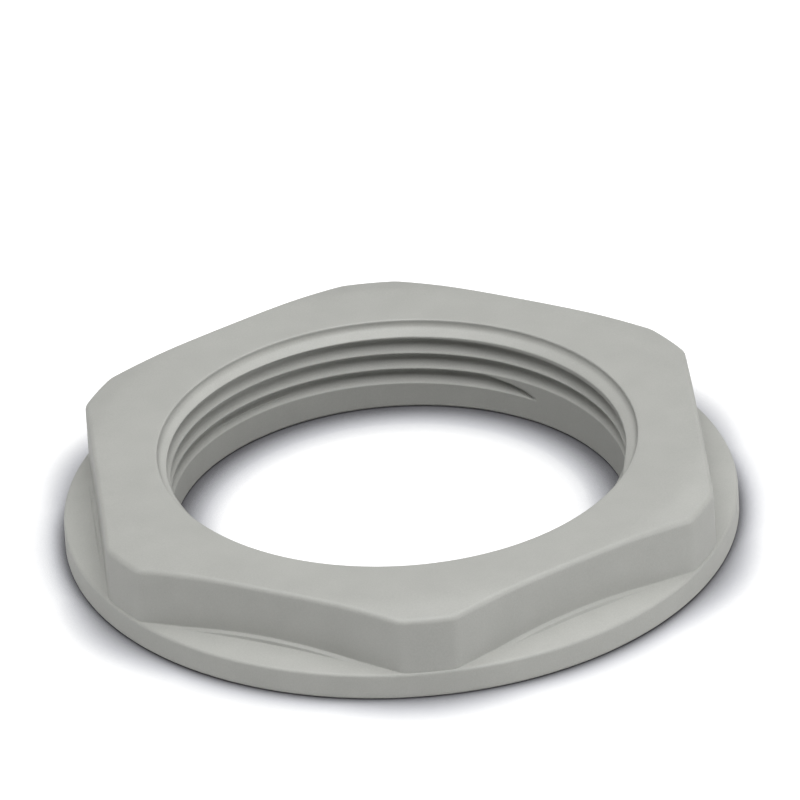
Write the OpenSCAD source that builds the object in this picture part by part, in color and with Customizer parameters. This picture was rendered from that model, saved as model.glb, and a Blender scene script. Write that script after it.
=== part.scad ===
// Cable gland locknut: one moulded piece with a hexagon, a round collar under it and a threaded bore.
// It lies on its collar. The origin is the centre of the bearing face, and +Z runs along the bore
// towards the hexagon. All lengths are in millimetres.

/* [Thread] */
// Nominal diameter of the metric fine thread
thread_d = 40; // [20:0.5:63]
// Pitch of the thread
thread_pitch = 1.5; // [1:0.25:2]
// Gap all round between the thread's nominal diameter and the recess at the mouth of the bore
mouth_gap = 0.2; // [0.1:0.05:0.6]
// Depth of the straight recess at the mouth of the bore
mouth_depth = 0.6; // [0.2:0.1:1.2]
// Height of the lead-in cone below the recess
lead_in_h = 0.5; // [0.3:0.1:1]
// Radius round the mouth of the bore
mouth_edge_r = 0.2; // [0.1:0.05:0.4]
// Size of the 45 degree chamfer where the bore meets the bearing face
bore_chamfer = 0.5; // [0.2:0.1:1]

/* [Hexagon] */
// Wall between the thread's nominal diameter and the middle of a flat
flat_wall = 5.5; // [3:0.25:8]
// Height of the whole nut, from bearing face to top face
nut_h = 8; // [6:0.25:12]
// Distance from the middle of a flat out to where the corner chamfer starts
chamfer_start = 0.4; // [0.1:0.1:1]
// Angle of the corner chamfer below the top face
chamfer_angle = 17; // [10:1:35]
// Radius that blends the corner chamfer into the top face
crown_r = 3; // [1:0.5:5]
// Radius along the top edges
edge_r = 0.4; // [0.2:0.05:0.8]
// Radius of the upright edges between flats and corner faces
upright_r = 2; // [0.5:0.25:4]

/* [Collar] */
// How far the collar stands out from the middle of a flat
collar_reach = 2.9; // [2:0.1:6]
// Height of the collar's rim
rim_h = 2.3; // [1.5:0.1:3]
// Angle of the collar's sloping top
slope_angle = 14; // [5:1:20]
// How far the corners of the hexagon stand back from the rim
corner_inset = 0.2; // [0.1:0.05:1]
// Radius along the rim's top edge
rim_r = 0.3; // [0.1:0.05:0.6]
// Chamfer round the bearing face
foot_chamfer = 0.2; // [0.1:0.05:0.4]

/* [Foot ledges] */
// How far the low ledge at the foot of a flat stands out from the flat
ledge_w = 0.35; // [0.2:0.05:0.8]
// Height of a ledge above the slope, at the middle of a flat
ledge_h = 0.25; // [0.1:0.05:0.4]
// Length of a ledge, from end to end
ledge_len = 14.6; // [6:0.2:18]

/* [Hidden] */
// Roundness of revolved surfaces
$fn = 180;
// Steps in a rounded edge
arc_steps = 6;
// How far a cut runs past the face it opens
overrun = 1;
// Depth of an internal 60 degree thread, as a share of its pitch
thread_depth_share = 5 / 8 * sqrt(3) / 2;

thread_r = thread_d / 2;
bore_r = thread_r - thread_depth_share * thread_pitch;
mouth_r = thread_r + mouth_gap;
flat_r = thread_r + flat_wall;
collar_r = flat_r + collar_reach;
corner_r = collar_r - corner_inset;
chamfer_r = flat_r + chamfer_start;
chamfer_drop = (corner_r - chamfer_r) * tan(chamfer_angle);
upright_turn = acos((flat_r - upright_r) / (corner_r - upright_r));
ledge_r = flat_r + ledge_w;
ledge_end_r = norm([ledge_r, ledge_len / 2]);
ledge_slope = (slope_z(ledge_r) + ledge_h - slope_z(ledge_end_r)) / (ledge_end_r - ledge_r);
ledge_top = slope_z(ledge_r) + ledge_h + ledge_w * ledge_slope;

// Height of the collar's sloping top at radius r
function slope_z(r) = rim_h + (collar_r - r) * tan(slope_angle);

// Points of an arc of radius r round [x, y], from angle a to angle b
function arc(x, y, r, a, b) =
    [for (i = [0 : arc_steps]) let (t = a + (b - a) * i / arc_steps) [x + r * cos(t), y + r * sin(t)]];

// Plan of one corner of the hexagon, with both its rounded upright edges
function corner_plan(dir) =
    let (reach = corner_r - upright_r, a = dir - 30 + upright_turn, b = dir + 30 - upright_turn)
    concat(
        arc(reach * cos(a), reach * sin(a), upright_r, dir - 30, a),
        [corner_r / cos(dir - a) * [cos(dir), sin(dir)]],
        arc(reach * cos(b), reach * sin(b), upright_r, b, dir + 30)
    );

// Half section of the collar, with its rim and its slope
module collar_section() {
    polygon(concat(
        [[0, 0], [collar_r - foot_chamfer, 0], [collar_r, foot_chamfer]],
        arc(collar_r - rim_r, rim_h - rim_r * tan(45 - slope_angle / 2), rim_r, 0, 90 - slope_angle),
        [[flat_r, slope_z(flat_r)], [0, slope_z(flat_r)]]
    ));
}

// Bar that reaches out to half_width on both sides, with its two long top edges rounded
module bar(half_width) {
    rotate([90, 0, 0])
        linear_extrude(height = 4 * collar_r, center = true)
            polygon(concat(
                [[-half_width, 0], [half_width, 0]],
                arc(half_width - edge_r, nut_h - edge_r, edge_r, 0, 90),
                arc(edge_r - half_width, nut_h - edge_r, edge_r, 90, 180)
            ));
}

// Three crossed bars' common part, a hexagonal prism
module crossed_bars(half_width) {
    intersection() {
        bar(half_width);
        rotate([0, 0, 60]) bar(half_width);
        rotate([0, 0, 120]) bar(half_width);
    }
}

// Turned blank that gives the hexagon its corner faces and its corner chamfer
module corner_blank() {
    rotate_extrude()
        polygon(concat(
            [[0, 0], [corner_r, 0]],
            arc(corner_r - edge_r, nut_h - chamfer_drop - edge_r * tan(45 - chamfer_angle / 2),
                edge_r, 0, 90 - chamfer_angle),
            arc(chamfer_r - crown_r * tan(chamfer_angle / 2), nut_h - crown_r, crown_r,
                90 - chamfer_angle, 90),
            [[0, nut_h]]
        ));
}

// Hexagon: the crossed bars inside the turned blank, with the upright edges rounded
module hexagon() {
    intersection() {
        corner_blank();
        crossed_bars(flat_r);
        linear_extrude(height = nut_h)
            polygon([for (k = [0 : 5]) each corner_plan(30 + 60 * k)]);
    }
}

// Low ledges at the feet of the flats. Their tops fall outwards and run out into the slope.
module foot_ledges() {
    intersection() {
        rotate_extrude()
            polygon([
                [0, 0], [ledge_end_r, 0], [ledge_end_r, slope_z(ledge_end_r)],
                [flat_r, ledge_top], [0, ledge_top]
            ]);
        crossed_bars(ledge_r);
    }
}

// Cut for the bore at the thread's minor diameter, with its recess and both lead-ins
module bore_cut() {
    translate([0, 0, -overrun])
        cylinder(h = nut_h + 2 * overrun, r = bore_r);
    rotate_extrude()
        polygon([
            [0, -overrun], [bore_r + bore_chamfer + overrun, -overrun],
            [bore_r, bore_chamfer], [0, bore_chamfer]
        ]);
    rotate_extrude()
        polygon([
            [0, nut_h - mouth_depth - lead_in_h], [bore_r, nut_h - mouth_depth - lead_in_h],
            [mouth_r, nut_h - mouth_depth], [mouth_r, nut_h + overrun], [0, nut_h + overrun]
        ]);
    rotate_extrude()
        polygon(concat(
            arc(mouth_r + mouth_edge_r, nut_h - mouth_edge_r, mouth_edge_r, 180, 90),
            [[mouth_r + mouth_edge_r, nut_h + overrun], [0, nut_h + overrun], [0, nut_h - mouth_edge_r]]
        ));
}

// The whole nut, as one solid
module locknut() {
    color([0.70, 0.71, 0.69])
        difference() {
            union() {
                rotate_extrude() collar_section();
                foot_ledges();
                hexagon();
            }
            bore_cut();
        }
}

locknut();
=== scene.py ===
"""Looks of the cable gland locknut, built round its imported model.

The nut is one moulded piece with a hexagon, a round collar and a threaded bore. Lengths here are in
millimetres and are turned into metres when a mesh is made. The origin is the centre of the bearing
face, and +Z runs along the bore towards the hexagon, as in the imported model.
"""

import math

import bmesh
import bpy
import numpy as np
from mathutils import Matrix, Vector


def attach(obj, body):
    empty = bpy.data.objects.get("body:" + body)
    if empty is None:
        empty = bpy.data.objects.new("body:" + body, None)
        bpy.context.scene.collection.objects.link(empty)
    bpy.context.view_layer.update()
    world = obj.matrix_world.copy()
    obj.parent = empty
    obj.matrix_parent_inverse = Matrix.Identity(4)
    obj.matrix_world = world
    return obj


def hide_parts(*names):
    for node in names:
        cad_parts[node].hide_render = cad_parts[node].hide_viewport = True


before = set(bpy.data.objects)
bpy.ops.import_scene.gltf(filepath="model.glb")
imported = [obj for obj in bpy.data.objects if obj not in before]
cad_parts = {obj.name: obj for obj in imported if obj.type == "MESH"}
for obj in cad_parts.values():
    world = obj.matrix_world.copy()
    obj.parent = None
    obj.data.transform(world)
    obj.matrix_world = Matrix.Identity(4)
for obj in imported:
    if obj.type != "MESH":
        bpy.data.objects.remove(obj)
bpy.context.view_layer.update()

MM = 0.001

# Thread
THREAD_R = 20.0
PITCH = 1.5
THREAD_DEPTH = 5 / 8 * math.sqrt(3) / 2 * PITCH
CREST_HALF = 0.05
UPPER_FLANK_H = 0.47
LOWER_FLANK_H = PITCH - UPPER_FLANK_H - 2 * CREST_HALF
# Height of the first crest in the direction FIRST_CREST_AT
FIRST_CREST_Z = 6.82
FIRST_CREST_AT = math.radians(90)
# Where the groove starts and over what angle it reaches its full depth, measured along the helix
START_AT = math.radians(-100)
START_LENGTH = math.radians(20)
# Where the groove ends, how many turns below the first crest, and how bluntly
RUN_OUT_AT = math.radians(49)
RUN_OUT_TURNS = 3
RUN_OUT_LENGTH = math.radians(15)
RUN_OUT_FORM = 0.4

# Fine raised line left by the mould in the lowest groove
LINE_FROM = math.radians(112)
LINE_TO = math.radians(138)
LINE_END_SLOPE = 2.5
LINE_ABOVE_CREST = 0.46
LINE_HALF = 0.1
LINE_DEPTH = 0.2

# Bore
BORE_R = THREAD_R - THREAD_DEPTH
MOUTH_R = THREAD_R + 0.2
MOUTH_DEPTH = 0.6
MOUTH_EDGE_R = 0.15
LEAD_IN_H = 0.5
MOUTH_FILLET = 0.6
BORE_CHAMFER = 0.2
BORE_CHAMFER_ROUND = 0.06

# Hexagon
FLAT_R = 25.5
NUT_H = 8.0
CORNER_R = 28.2
CHAMFER_R = FLAT_R + 0.4
CHAMFER_ANGLE = math.radians(17)
CHAMFER_BLEND = 0.8
TOP_EDGE_R = 0.4
UPRIGHT_EDGE_R = 2.0

# Collar. The foot's bulge is a share of its chamfer.
COLLAR_R = 28.4
RIM_H = 2.3
RIM_EDGE_R = 0.3
SLOPE_ANGLE = math.radians(14)
FOOT_CHAMFER = 0.2
FOOT_BULGE = 0.075

# Low ledges at the feet of the flats
LEDGE_R = FLAT_R + 0.35
LEDGE_H = 0.25
LEDGE_LENGTH = 14.6
LEDGE_END_R = math.hypot(LEDGE_R, LEDGE_LENGTH / 2)
LEDGE_SIDE_W = 0.05
# Largest shares of the slope that a ledge and its side take where the slope is narrow
LEDGE_ROOM = 0.6
LEDGE_SIDE_ROOM = 0.2

# Fillet at the foot of the hexagon, its share of a narrow slope, and its gap to the rim's edge
FLAT_FOOT_R = 0.12
FLAT_FOOT_ROOM = 0.3
RIM_CLEARANCE = 0.04

# How finely the mesh is cut
SIXTH = math.pi / 3
STEP_ON_FLATS = math.radians(0.62)
STEPS_AT_UPRIGHT_EDGE = 6
BORE_COLUMNS = 360
ROWS_PER_PITCH = 28
# Extra rings on the bearing face and heights of the rings on the rim
FACE_RING_R = 25.0
FACE_EDGE_INSET = 0.15
RIM_RINGS = (0.35, 1.0, 1.7)
# Rings as shares of the way along the slope, a ledge's top, a flat and the level top face
SLOPE_SHARES = (0.1, 0.3, 0.55, 0.8, 0.95)
LEDGE_TOP_SHARES = (0.3, 0.65, 1.0)
FLAT_SHARES = (0.06, 0.2, 0.4, 0.6, 0.8, 0.94)
TOP_SHARES = (0.5, 1.0)
# Rings on the corner chamfer, as distances in from the rounded top edge
CHAMFER_INSETS = (0.1, 0.3, 0.55, 0.8, 1.05, 1.3, 1.5, 1.7, 1.9, 2.15, 2.5, 3.0)
# Gaps that keep the helical rows clear of the level rows above and below them
LAND_GAP = 0.02
ROWS_GAP_BELOW = 0.03
ROWS_GAP_ABOVE = 0.02
# Key of the bore's level rows, past that of any helical row
LEVEL_ROW = 1e6
# Where the bore's mesh joins the outer mesh on the top face and on the bearing face
TOP_SEAM_R = MOUTH_R + 0.4
FOOT_SEAM_R = BORE_R + BORE_CHAMFER + 0.4

# Camera, as seen in the photograph: 800 x 800 frame
ELEVATION = math.radians(30.465)
ROLL = math.radians(-3.572)
TURN = math.radians(3.2025)
DISTANCE = 1500.0
AIM_RIGHT = 0.1858
AIM_DOWN = 10.3447
FRAME_PX = 800
FOCAL_PX = 17817.8
SENSOR_MM = 36.0
CLIP_NEAR = 0.05
CLIP_FAR = 20.0

# Polyamide: linear colour, how far clouding and grain change it, and how much is clouding or grain
POLYAMIDE = (0.41, 0.413, 0.39)
DARKER = 0.93
LIGHTER = 1.07
CLOUD_SHARE = 0.4
GRAIN_SHARE = 0.6
TINT_RANGE = (0.3, 0.7)
# Scales of the noises, per metre
CLOUD_SCALE = 300.0
GRAIN_SCALE = 8000.0
SHEEN_SCALE = 700.0
ROUGHNESS_RANGE = (0.46, 0.54)
GRAIN_STRENGTH = 0.5
GRAIN_H = 0.00002
IOR = 1.5

# Studio floor, in metres
FLOOR_SIZE = 6.0
FLOOR_DROP = 0.00002
# How far the painted contact shadow on the floor reaches, its colours, and how open the foot of a
# wall is
CONTACT_REACH = 6.0
CONTACT_DARK = (0.12, 0.12, 0.129, 1.0)
CONTACT_MIDDLE = (0.5, 0.505, 0.53, 1.0)
CONTACT_SAMPLES = 16
OPEN_AT_WALL = 0.5
# Light that the floor gives back: its colour inside the bore, darker there as painted shade, and
# outside it; the faint glow it gives off outside the collar, painted light on the rims; and what it
# adds to white
SHADED_BOUNCE_INSIDE = (0.36, 0.36, 0.36, 1.0)
BOUNCE_OUTSIDE = (0.68, 0.68, 0.68, 1.0)
# Painted light: strength of the floor's glow onto the rims outside the collar
GLOW_OUTSIDE = 0.05
WHITE_LIFT = 0.12
WHITE = (1.0, 1.0, 1.0, 1.0)

# Lamps: name, direction in degrees (0 is the right, -90 the front), elevation, width in metres
# and power in watts
LAMP_DISTANCE = 1.1
LAMPS = [
    ("overhead", -90, 79, 1.2, 17.5),
    ("right", 0, 10, 0.3, 1.7),
    ("left", 185, 9, 0.3, 1.1),
    ("front_right", -30, 9, 0.3, 1.8),
    ("back", 60, 40, 0.4, 1.0),
]
AMBIENT = 0.02


def smoothstep(x):
    x = np.clip(x, 0.0, 1.0)
    return x * x * (3 - 2 * x)


def share(x):
    """x kept between 0 and 1."""
    return min(max(x, 0.0), 1.0)


# Hexagon seen from above

def upright_edge():
    """Centre of the rounding between a flat and a corner face, and the angles of its two ends."""
    side = math.sqrt((CORNER_R - UPRIGHT_EDGE_R) ** 2 - (FLAT_R - UPRIGHT_EDGE_R) ** 2)
    centre = (FLAT_R - UPRIGHT_EDGE_R, side)
    return centre, math.atan2(side, FLAT_R), math.atan2(side, FLAT_R - UPRIGHT_EDGE_R)


def off_flat(angle):
    """Angle between a direction and the middle of the nearest flat."""
    return abs(angle - SIXTH * round(angle / SIXTH))


def hexagon_radius(angle):
    """Distance from the axis to the side of the hexagon in the direction of angle."""
    off = off_flat(angle)
    centre, start, end = upright_edge()
    if off <= start:
        return FLAT_R / math.cos(off)
    if off >= end:
        return CORNER_R
    along = centre[0] * math.cos(off) + centre[1] * math.sin(off)
    across = centre[0] ** 2 + centre[1] ** 2 - along ** 2
    return along + math.sqrt(UPRIGHT_EDGE_R ** 2 - across)


def outer_angles():
    """Directions of the outer mesh's columns, closer together at the upright edges."""
    _, start, end = upright_edge()
    on_flat = max(2, round(2 * start / STEP_ON_FLATS))
    on_corner = max(2, round((SIXTH - 2 * end) / STEP_ON_FLATS))
    one = np.concatenate([
        np.linspace(-start, start, on_flat, endpoint=False),
        np.linspace(start, end, STEPS_AT_UPRIGHT_EDGE, endpoint=False),
        np.linspace(end, SIXTH - end, on_corner, endpoint=False),
        np.linspace(SIXTH - end, SIXTH - start, STEPS_AT_UPRIGHT_EDGE, endpoint=False),
    ])
    return np.concatenate([one + k * SIXTH for k in range(6)])


# Outer section, from the bearing face round to the top face

def top_height(r):
    """Height of the top face at radius r, with the corner chamfer blended in."""
    past = r - CHAMFER_R
    blended = past + math.sqrt(past ** 2 + CHAMFER_BLEND ** 2)
    return NUT_H - math.tan(CHAMFER_ANGLE) * 0.5 * blended


def foot_radius(hex_r):
    """Radius of the fillet at the foot of the hexagon, smaller where the rim is close."""
    return min(FLAT_FOOT_R, FLAT_FOOT_ROOM * (COLLAR_R - hex_r))


def collar_points(hex_r):
    """Bearing face, foot chamfer and rim, up to where the slope starts, as (r, z)."""
    face_edge = COLLAR_R - FOOT_CHAMFER - FACE_EDGE_INSET
    points = [(FOOT_SEAM_R, 0.0), (FACE_RING_R, 0.0), (face_edge, 0.0)]
    for t in np.linspace(0, 1, 5):
        bulge = FOOT_BULGE * FOOT_CHAMFER * math.sin(math.pi * t)
        points.append((COLLAR_R - FOOT_CHAMFER * (1 - t) + bulge, FOOT_CHAMFER * t - bulge))
    points += [(COLLAR_R, z) for z in RIM_RINGS]
    centre_r = COLLAR_R - RIM_EDGE_R
    centre_z = RIM_H - RIM_EDGE_R * math.tan(math.pi / 4 - SLOPE_ANGLE / 2)
    room = hex_r + foot_radius(hex_r) + RIM_CLEARANCE - centre_r
    last = math.acos(min(max(room / RIM_EDGE_R, math.sin(SLOPE_ANGLE)), 1.0))
    for a in np.linspace(0, last, 7):
        points.append((centre_r + RIM_EDGE_R * math.cos(a), centre_z + RIM_EDGE_R * math.sin(a)))
    return points


def slope_points(off, hex_r, start_r, start_z):
    """Slope, ledge and fillet from the rim in to the side of the hexagon.

    off is the angle to the flat's middle.
    """
    foot = foot_radius(hex_r)
    end_r = hex_r + foot
    ledge_r = min(LEDGE_R / math.cos(off), end_r + LEDGE_ROOM * (start_r - end_r))
    side_w = min(LEDGE_SIDE_W, LEDGE_SIDE_ROOM * (start_r - end_r))
    rise = LEDGE_H / (LEDGE_END_R - LEDGE_R)

    def height(r):
        return start_z + (start_r - r) * math.tan(SLOPE_ANGLE)

    def lift(r):
        return rise * max(LEDGE_END_R - r, 0.0)

    side_r = ledge_r + side_w
    points = []
    for t in SLOPE_SHARES:
        r = start_r + (side_r - start_r) * t
        points.append((r, height(r)))
    for t in np.linspace(0, 1, 9):
        r = side_r - 2 * side_w * t
        points.append((r, height(r) + lift(ledge_r) * float(smoothstep(t))))
    top_r = points[-1][0]
    for t in LEDGE_TOP_SHARES:
        r = top_r + (end_r - top_r) * t
        points.append((r, height(r) + lift(ledge_r) + (lift(r) - lift(top_r))))
    end_z = points[-1][1]
    for a in np.linspace(0, math.pi / 2, 5)[1:]:
        points.append((hex_r + foot * (1 - math.sin(a)), end_z + foot * (1 - math.cos(a))))
    return points


def flat_and_top_points(hex_r, from_z):
    """Side of the hexagon, its rounded top edge and the top face in to the seam."""
    shoulder = top_height(hex_r) - TOP_EDGE_R
    points = [(hex_r, from_z + (shoulder - from_z) * t) for t in FLAT_SHARES]
    for a in np.linspace(0, math.pi / 2, 10):
        r = hex_r - TOP_EDGE_R * (1 - math.cos(a))
        points.append((r, top_height(r) - TOP_EDGE_R * (1 - math.sin(a))))
    edge = points[-1][0]
    for inset in CHAMFER_INSETS:
        points.append((edge - inset, top_height(edge - inset)))
    last = points[-1][0]
    points += [(last + (TOP_SEAM_R - last) * t, NUT_H) for t in TOP_SHARES]
    return points


def outer_section(angle):
    """One column of the outer mesh, from the seam on the bearing face to the one on the top."""
    hex_r = hexagon_radius(angle)
    points = collar_points(hex_r)
    points += slope_points(off_flat(angle), hex_r, *points[-1])
    points += flat_and_top_points(hex_r, points[-1][1])
    return points


# Bore, from the top face down to the bearing face

def mouth_fillet():
    """Slope of the lead-in cone, and the height where the fillet meets the recess wall."""
    slope = math.atan2(LEAD_IN_H, MOUTH_R - BORE_R)
    tangent = MOUTH_FILLET / math.tan((math.pi / 2 + slope) / 2)
    return slope, NUT_H - MOUTH_DEPTH + tangent


def lead_in_radius(z):
    """Radius of the bore without its thread, from the recess at the mouth down to the land."""
    slope, centre_z = mouth_fillet()
    if z >= centre_z:
        return MOUTH_R
    if z > centre_z - MOUTH_FILLET * math.cos(slope):
        across = math.sqrt(MOUTH_FILLET ** 2 - (centre_z - z) ** 2)
        return MOUTH_R - MOUTH_FILLET + across
    return BORE_R + max(z - (NUT_H - MOUTH_DEPTH - LEAD_IN_H), 0.0) / math.tan(slope)


def mould_line(turn, above):
    """Share of the mould line's height, in the direction turn and above the crest below it."""
    middle, reach = (LINE_FROM + LINE_TO) / 2, (LINE_TO - LINE_FROM) / 2
    along = smoothstep(LINE_END_SLOPE * (1 - abs(turn - middle) / reach))
    return float(along) * max(1 - abs(above - LINE_ABOVE_CREST) / LINE_HALF, 0.0)


def thread_radius(z, turn):
    """Radius of the threaded wall at height z, in the direction turn, from 0 to a full turn."""
    climb = (z - FIRST_CREST_Z) / PITCH - (turn - FIRST_CREST_AT) / math.tau
    lower_crest = math.floor(climb)
    above = (climb - lower_crest) * PITCH
    groove_turn = turn - FIRST_CREST_AT + math.tau * lower_crest
    end = RUN_OUT_AT - FIRST_CREST_AT - math.tau * RUN_OUT_TURNS
    below = PITCH * share((groove_turn - end) / RUN_OUT_LENGTH) ** RUN_OUT_FORM - above
    lower = share((above - CREST_HALF) / LOWER_FLANK_H)
    upper = share((below - CREST_HALF) / UPPER_FLANK_H)
    start = float(smoothstep((START_AT - groove_turn) / START_LENGTH))
    depth = THREAD_DEPTH * min(1 - (1 - lower) ** 2, upper) * start
    if lower_crest == -RUN_OUT_TURNS:
        depth -= min(LINE_DEPTH * mould_line(turn, above), depth)
    return BORE_R + depth


def bore_rows(turn):
    """Heights of one column's points on the thread, each with the number of its helical row."""
    low, high = BORE_CHAMFER + ROWS_GAP_BELOW, mouth_fillet()[1] - ROWS_GAP_ABOVE
    base = FIRST_CREST_Z + PITCH * (turn - FIRST_CREST_AT) / math.tau
    first = math.ceil((low - base) / PITCH * ROWS_PER_PITCH)
    last = math.floor((high - base) / PITCH * ROWS_PER_PITCH)
    return [(n, base + PITCH * n / ROWS_PER_PITCH) for n in range(first, last + 1)]


def foot_points():
    """Chamfer at the bearing face, as (r, z), from the face up to the land."""
    return [(BORE_R + BORE_CHAMFER, 0.0),
            (BORE_R + BORE_CHAMFER_ROUND, BORE_CHAMFER - BORE_CHAMFER_ROUND),
            (BORE_R, BORE_CHAMFER + LAND_GAP)]


def mouth_points():
    """Recess wall and rounded edge, as (r, z), from the foot of the recess up to the top face."""
    wall_foot = mouth_fillet()[1]
    wall_h = NUT_H - MOUTH_EDGE_R - wall_foot
    points = [(MOUTH_R, wall_foot + wall_h * t) for t in (0.0, 0.5, 1.0)]
    for a in np.linspace(0, math.pi / 2, 6)[1:]:
        points.append((MOUTH_R + MOUTH_EDGE_R * (1 - math.cos(a)),
                       NUT_H - MOUTH_EDGE_R * (1 - math.sin(a))))
    return points


# Mesh

class Mesh:
    """Vertices and faces of one piece, taken in millimetres and kept in metres."""

    def __init__(self):
        self.vertices = []
        self.faces = []

    def add(self, r, angle, z):
        self.vertices.append((r * math.cos(angle) * MM, r * math.sin(angle) * MM, z * MM))
        return len(self.vertices) - 1

    def strip(self, left, right):
        """Quads between two columns of the same length, left having the smaller angle."""
        for k in range(len(left) - 1):
            self.faces.append((left[k], right[k], right[k + 1], left[k + 1]))

    def stitch(self, a, b):
        """Faces between two lists of (key, vertex) that run side by side."""
        i = j = 0
        while i < len(a) - 1 or j < len(b) - 1:
            next_a = a[i + 1][0] if i < len(a) - 1 else math.inf
            next_b = b[j + 1][0] if j < len(b) - 1 else math.inf
            if next_a == next_b:
                self.faces.append((a[i][1], b[j][1], b[j + 1][1], a[i + 1][1]))
                i, j = i + 1, j + 1
            elif next_a < next_b:
                self.faces.append((a[i][1], b[j][1], a[i + 1][1]))
                i += 1
            else:
                self.faces.append((a[i][1], b[j][1], b[j + 1][1]))
                j += 1

    def build(self, name):
        """Object with these faces, smooth, with all its normals outwards."""
        data = bpy.data.meshes.new(name)
        data.from_pydata(self.vertices, [], self.faces)
        data.validate()
        data.shade_smooth()
        piece = bpy.data.objects.new(name, data)
        bpy.context.scene.collection.objects.link(piece)
        bm = bmesh.new()
        bm.from_mesh(data)
        bmesh.ops.recalc_face_normals(bm, faces=bm.faces)
        bm.to_mesh(data)
        bm.free()
        return piece


def outer_mesh(mesh):
    """Adds the collar, the hexagon and the top face. Gives back its rings as (angle, vertex)."""
    angles = outer_angles()
    columns = [[mesh.add(r, a, z) for r, z in outer_section(a)] for a in angles]
    for left, right in zip(columns, columns[1:] + columns[:1]):
        mesh.strip(left, right)
    foot = [(a, c[0]) for a, c in zip(angles, columns)]
    top = [(a, c[-1]) for a, c in zip(angles, columns)]
    return foot, top


def bore_column(mesh, turn):
    """One column of the bore from the bearing face up, as (key, vertex)."""
    column = [(k - LEVEL_ROW, mesh.add(r, turn, z)) for k, (r, z) in enumerate(foot_points())]
    for n, z in bore_rows(turn):
        r = min(max(thread_radius(z, turn), lead_in_radius(z)), MOUTH_R)
        column.append((n, mesh.add(r, turn, z)))
    column += [(k + LEVEL_ROW, mesh.add(r, turn, z)) for k, (r, z) in enumerate(mouth_points())]
    return column


def one_turn_on(column):
    """The column with its helical rows numbered as they are seen from a full turn further on."""
    return [(key - ROWS_PER_PITCH if abs(key) < LEVEL_ROW / 2 else key, v) for key, v in column]


def bore_mesh(mesh):
    """Adds the bore. Gives back its lower and upper rings as (angle, vertex)."""
    turns = np.arange(BORE_COLUMNS) * math.tau / BORE_COLUMNS
    columns = [bore_column(mesh, t) for t in turns]
    for left, right in zip(columns, columns[1:] + [one_turn_on(columns[0])]):
        mesh.stitch(left, right)
    foot = [(t, c[0][1]) for t, c in zip(turns, columns)]
    top = [(t, c[-1][1]) for t, c in zip(turns, columns)]
    return foot, top


def closed(ring):
    """The ring with its first point once more at the end, a full turn on."""
    ring = sorted((a % math.tau, v) for a, v in ring)
    return ring + [(ring[0][0] + math.tau, ring[0][1])]


def nut_piece():
    mesh = Mesh()
    outer_foot, outer_top = outer_mesh(mesh)
    bore_foot, bore_top = bore_mesh(mesh)
    mesh.stitch(closed(bore_top), closed(outer_top))
    mesh.stitch(closed(outer_foot), closed(bore_foot))
    return mesh.build("locknut_body")


# Materials

def new_material(name):
    material = bpy.data.materials.new(name)
    material.use_nodes = True
    nodes = material.node_tree.nodes
    nodes.clear()
    return material, nodes, material.node_tree.links


def noise(nodes, links, place, scale, detail):
    node = nodes.new("ShaderNodeTexNoise")
    node.inputs["Scale"].default_value = scale
    node.inputs["Detail"].default_value = detail
    links.new(place.outputs["Object"], node.inputs["Vector"])
    return node.outputs["Fac"]


def math_node(nodes, links, operation, first, second):
    """Output of a math node. Each of its two inputs is a number or another node's output."""
    node = nodes.new("ShaderNodeMath")
    node.operation = operation
    for socket, value in zip(node.inputs, (first, second)):
        if isinstance(value, float):
            socket.default_value = value
        else:
            links.new(value, socket)
    return node.outputs["Value"]


def polyamide():
    """Matt moulded polyamide: faint clouding of the colour, a fine grain and an uneven sheen."""
    material, nodes, links = new_material("grey_polyamide")
    place = nodes.new("ShaderNodeTexCoord")
    shader = nodes.new("ShaderNodeBsdfPrincipled")
    out = nodes.new("ShaderNodeOutputMaterial")
    clouds = noise(nodes, links, place, CLOUD_SCALE, 3.0)
    grain = noise(nodes, links, place, GRAIN_SCALE, 3.0)
    sheen = noise(nodes, links, place, SHEEN_SCALE, 2.0)

    tint = nodes.new("ShaderNodeValToRGB")
    for element, position, factor in zip(tint.color_ramp.elements, TINT_RANGE, (DARKER, LIGHTER)):
        element.position = position
        element.color = tuple(c * factor for c in POLYAMIDE) + (1.0,)
    mixed = math_node(nodes, links, "ADD",
                      math_node(nodes, links, "MULTIPLY", clouds, CLOUD_SHARE),
                      math_node(nodes, links, "MULTIPLY", grain, GRAIN_SHARE))
    links.new(mixed, tint.inputs["Fac"])
    links.new(tint.outputs["Color"], shader.inputs["Base Color"])

    rough = nodes.new("ShaderNodeMapRange")
    rough.inputs["To Min"].default_value, rough.inputs["To Max"].default_value = ROUGHNESS_RANGE
    links.new(sheen, rough.inputs["Value"])
    links.new(rough.outputs["Result"], shader.inputs["Roughness"])

    bump = nodes.new("ShaderNodeBump")
    bump.inputs["Strength"].default_value = GRAIN_STRENGTH
    bump.inputs["Distance"].default_value = GRAIN_H
    links.new(grain, bump.inputs["Height"])
    links.new(bump.outputs["Normal"], shader.inputs["Normal"])
    shader.inputs["IOR"].default_value = IOR
    links.new(shader.outputs["BSDF"], out.inputs["Surface"])
    return material


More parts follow.
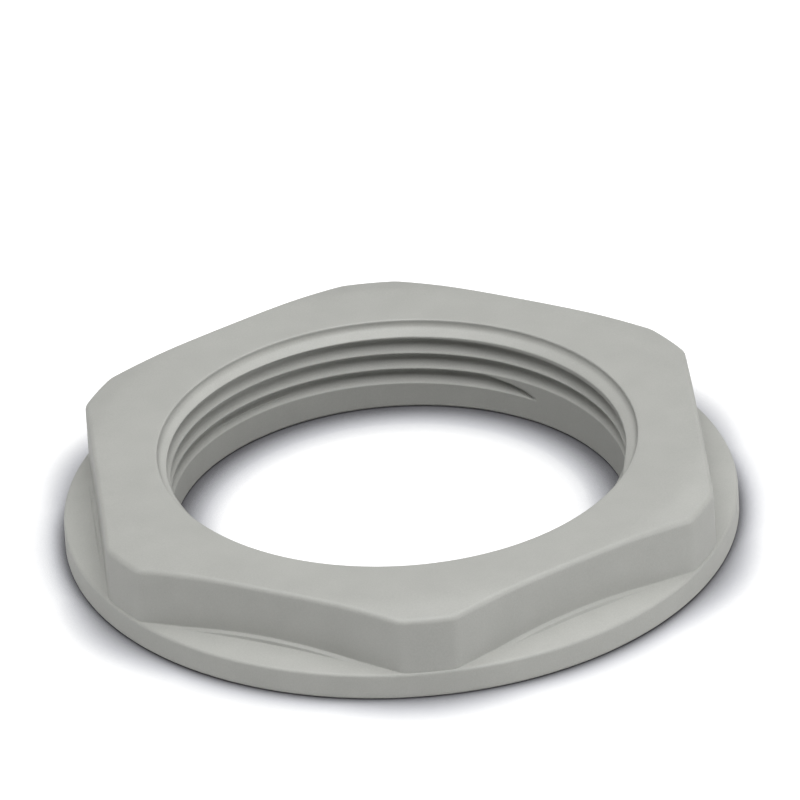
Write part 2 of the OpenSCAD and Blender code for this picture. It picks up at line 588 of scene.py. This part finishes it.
def painted_contact_shadow(nodes, links):
    """Colour of the floor with the object's contact shadow painted in, darker the nearer a wall
    stands, white where nothing is near.
    """
    # Painted shadow: the nearer a wall, the darker the floor's colour
    contact = nodes.new("ShaderNodeAmbientOcclusion")
    contact.samples = CONTACT_SAMPLES
    contact.inputs["Distance"].default_value = CONTACT_REACH * MM
    opened = nodes.new("ShaderNodeMapRange")
    opened.inputs["From Min"].default_value = OPEN_AT_WALL
    links.new(contact.outputs["AO"], opened.inputs["Value"])
    shade = nodes.new("ShaderNodeValToRGB")
    shade.color_ramp.elements[0].color = CONTACT_DARK
    shade.color_ramp.elements[1].color = WHITE
    shade.color_ramp.elements.new(0.5).color = CONTACT_MIDDLE
    links.new(opened.outputs["Result"], shade.inputs["Fac"])
    return shade.outputs["Color"]


def outside_collar(nodes, links):
    """1 where the floor lies outside the collar and 0 inside."""
    place = nodes.new("ShaderNodeTexCoord")
    radius = nodes.new("ShaderNodeVectorMath")
    radius.operation = "LENGTH"
    links.new(place.outputs["Object"], radius.inputs[0])
    return math_node(nodes, links, "GREATER_THAN", radius.outputs["Value"], COLLAR_R * MM)


def colour_mix(nodes, links, factor, first, second):
    """Mix of two colours, each a fixed colour or another node's output."""
    mix = nodes.new("ShaderNodeMix")
    mix.data_type = "RGBA"
    links.new(factor, mix.inputs["Factor"])
    for name, colour in (("A", first), ("B", second)):
        if isinstance(colour, tuple):
            mix.inputs[name].default_value = colour
        else:
            links.new(colour, mix.inputs[name])
    return mix.outputs["Result"]


def floor_material():
    """White studio floor with the object's contact shadow painted into its colour, giving soft
    light back to the object: darker inside the bore as painted shade, and with a faint glow outside
    the collar as painted light on the rims.
    """
    material, nodes, links = new_material("studio_floor")
    seen = nodes.new("ShaderNodeLightPath").outputs["Is Camera Ray"]
    unseen = math_node(nodes, links, "SUBTRACT", 1.0, seen)
    # Painted shadow: the floor's colour darkens near the object, on top of the shadow that the
    # lamps cast
    shade = painted_contact_shadow(nodes, links)
    outside = outside_collar(nodes, links)

    # Painted shade: inside the bore the floor gives back darker light than outside, which darkens
    # the thread and land
    bounce = colour_mix(nodes, links, outside, SHADED_BOUNCE_INSIDE, BOUNCE_OUTSIDE)
    diffuse = nodes.new("ShaderNodeBsdfDiffuse")
    links.new(colour_mix(nodes, links, seen, bounce, shade), diffuse.inputs["Color"])

    # Painted light: outside the collar the floor glows faintly onto the rims, for rays the camera
    # does not see
    given = math_node(nodes, links, "MULTIPLY",
                      math_node(nodes, links, "MULTIPLY", unseen, outside), GLOW_OUTSIDE)
    lifted = math_node(nodes, links, "MULTIPLY", seen, WHITE_LIFT)
    glow = nodes.new("ShaderNodeEmission")
    links.new(shade, glow.inputs["Color"])
    links.new(math_node(nodes, links, "ADD", given, lifted), glow.inputs["Strength"])

    both = nodes.new("ShaderNodeAddShader")
    links.new(diffuse.outputs["BSDF"], both.inputs[0])
    links.new(glow.outputs["Emission"], both.inputs[1])
    out = nodes.new("ShaderNodeOutputMaterial")
    links.new(both.outputs["Shader"], out.inputs["Surface"])
    return material


# Studio

def studio():
    """Floor and lamps."""
    bpy.ops.mesh.primitive_plane_add(size=FLOOR_SIZE, location=(0, 0, -FLOOR_DROP))
    floor = bpy.context.object
    floor.name = "studio_floor"
    floor.data.materials.append(floor_material())
    for name, direction, elevation, width, power in LAMPS:
        light = bpy.data.lights.new(name, "AREA")
        light.shape = "SQUARE"
        light.size = width
        light.energy = power
        lamp = bpy.data.objects.new(name, light)
        turn, lift = math.radians(direction) - TURN, math.radians(elevation)
        towards = Vector((math.cos(turn) * math.cos(lift),
                          math.sin(turn) * math.cos(lift),
                          math.sin(lift)))
        lamp.location = towards * LAMP_DISTANCE
        lamp.rotation_euler = towards.to_track_quat("Z", "Y").to_euler()
        bpy.context.scene.collection.objects.link(lamp)


def surroundings():
    """White world for the camera, and a faint pale one for the light it gives."""
    world = bpy.data.worlds.new("studio")
    bpy.context.scene.world = world
    world.use_nodes = True
    nodes, links = world.node_tree.nodes, world.node_tree.links
    nodes.clear()
    rays = nodes.new("ShaderNodeLightPath")
    ambient = nodes.new("ShaderNodeBackground")
    ambient.inputs["Strength"].default_value = AMBIENT
    white = nodes.new("ShaderNodeBackground")
    white.inputs["Color"].default_value = WHITE
    white.inputs["Strength"].default_value = 1.0
    mix = nodes.new("ShaderNodeMixShader")
    out = nodes.new("ShaderNodeOutputWorld")
    links.new(rays.outputs["Is Camera Ray"], mix.inputs["Fac"])
    links.new(ambient.outputs["Background"], mix.inputs[1])
    links.new(white.outputs["Background"], mix.inputs[2])
    links.new(mix.outputs["Shader"], out.inputs["Surface"])


def camera():
    """Long lens at the photograph's viewing angle, aimed so that the frame needs no shift."""
    right = np.array([1.0, 0.0, 0.0])
    ahead = np.array([0.0, math.cos(ELEVATION), -math.sin(ELEVATION)])
    down = np.cross(ahead, right)
    c, s = math.cos(ROLL), math.sin(ROLL)
    right, down = c * right - s * down, s * right + c * down
    place = -(AIM_RIGHT * right + AIM_DOWN * down + DISTANCE * ahead) * MM
    turned = Matrix.Rotation(-TURN, 3, "Z")
    axes = Matrix([turned @ Vector(v) for v in (right, -down, -ahead)]).transposed()
    data = bpy.data.cameras.new("camera")
    data.sensor_width = SENSOR_MM
    data.lens = FOCAL_PX * SENSOR_MM / FRAME_PX
    data.clip_start, data.clip_end = CLIP_NEAR, CLIP_FAR
    view = bpy.data.objects.new("camera", data)
    view.matrix_world = Matrix.Translation(turned @ Vector(place)) @ axes.to_4x4()
    bpy.context.scene.collection.objects.link(view)
    bpy.context.scene.camera = view


nut = nut_piece()
nut.data.materials.append(polyamide())
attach(nut, "root")
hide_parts("locknut")

studio()
surroundings()
camera()
bpy.context.scene.view_settings.view_transform = "Standard"
